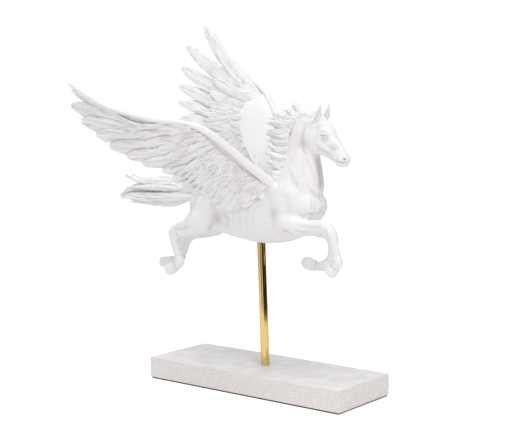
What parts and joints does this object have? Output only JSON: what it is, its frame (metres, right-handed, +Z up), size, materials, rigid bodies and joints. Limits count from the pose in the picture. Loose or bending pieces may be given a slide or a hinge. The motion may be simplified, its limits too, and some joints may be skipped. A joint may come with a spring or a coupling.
{
  "type": "pegasus figurine on a rod and slab",
  "caption": "Leaping winged horse cast in white resin, held above a marble slab by a slim brass rod; a mantel or shelf ornament.",
  "frame": {"origin": "centre of the felt pad's underside, where the ornament stands on its shelf", "axes": "+X along the slab, the way the horse leaps; +Y towards the horse's left side; +Z up"},
  "size_m": [0.3024, 0.1822, 0.3533],
  "materials": {
    "white_resin": "satin white, hand brushed",
    "polished_brass": "polished",
    "white_marble": "honed, fine grey grain",
    "zinc_steel": "zinc plated",
    "dark_felt": "matte felt"
  },
  "bodies": {
    "root": {"pegasus_figure": "white_resin", "support_rod": "polished_brass", "marble_base": "white_marble", "base_screw": "zinc_steel", "screw_washer": "zinc_steel", "felt_pad": "dark_felt"}
  },
  "joints": []
}
